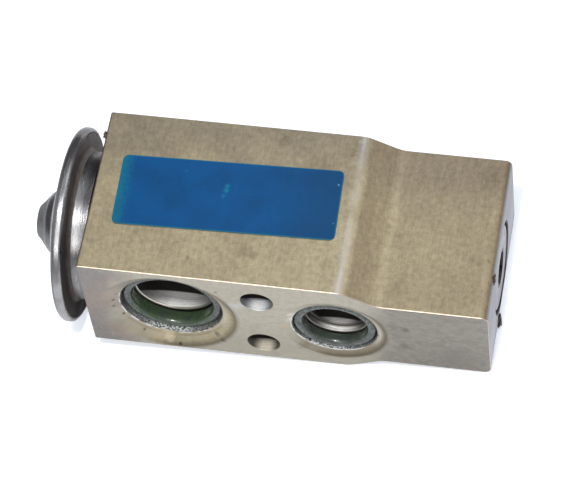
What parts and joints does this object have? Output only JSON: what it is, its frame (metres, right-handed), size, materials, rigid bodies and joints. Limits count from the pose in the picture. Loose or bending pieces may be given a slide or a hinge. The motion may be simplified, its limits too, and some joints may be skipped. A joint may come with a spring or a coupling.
{
  "type": "thermostatic expansion valve",
  "caption": "Block type thermostatic expansion valve with a power head, suction and liquid passages through an aluminium block, bolt holes and an adjusting screw.",
  "frame": {"origin": "on the front port face, midway between the two bolt holes", "axes": "+X along the block from the power head to the adjusting screw, -Y out of the front port face, +Z out of the labelled face"},
  "size_m": [0.0915, 0.0384, 0.0384],
  "materials": {
    "block": "extruded and machined aluminium with a dull yellowish chromate film",
    "head_steel": "pressed stainless steel, satin, stained under the rim",
    "plug_steel": "dull grey steel",
    "inner_steel": "bright steel",
    "inner_brass": "turned brass",
    "rod_aluminium": "turned aluminium",
    "screw_metal": "dull grey turned metal",
    "black_rubber": "black seal rubber",
    "green_rubber": "dark green seal rubber, oily",
    "label_film": "blue film, slightly scratched"
  },
  "bodies": {
    "valve_block": {"valve_body": "block", "power_head_cover": "head_steel", "power_head_base": "head_steel", "charge_plug": "plug_steel", "diaphragm": "inner_steel", "power_head_seal": "black_rubber", "rod_seal": "black_rubber", "rod_seal_retainer": "inner_steel", "suction_port_seal": "green_rubber", "liquid_port_seal": "green_rubber", "label": "label_film"},
    "valve_train": {"diaphragm_stopper": "inner_brass", "sensing_rod": "rod_aluminium", "push_pin": "inner_steel", "valve_ball": "inner_steel", "ball_carrier": "inner_brass", "damping_ring": "inner_steel", "superheat_spring": "inner_steel"},
    "adjuster_carriage": {"adjuster_seal": "black_rubber"},
    "adjuster": {"adjusting_screw": "screw_metal"}
  },
  "joints": [
    {"name": "valve_lift", "type": "slide", "parent": "valve_block", "child": "valve_train", "axis": [1, 0, 0], "range_m": [0, 0.0008], "stiffness_N_per_m": 2000, "springref_m": -0.003, "deforming": ["superheat_spring", "diaphragm"]},
    {"name": "adjuster_travel", "type": "slide", "parent": "valve_block", "child": "adjuster_carriage", "axis": [1, 0, 0], "range_m": [-0.0015, 0.0015], "deforming": ["superheat_spring"]},
    {"name": "adjuster_turn", "type": "hinge", "parent": "adjuster_carriage", "child": "adjuster", "pos_m": [0.044, 0.0176, 0], "axis": [1, 0, 0], "range_deg": [-540, 540]}
  ],
  "couplings": [
    {"joint": "adjuster_travel", "follows": "adjuster_turn", "m_per_rad": 0.00015915}
  ]
}
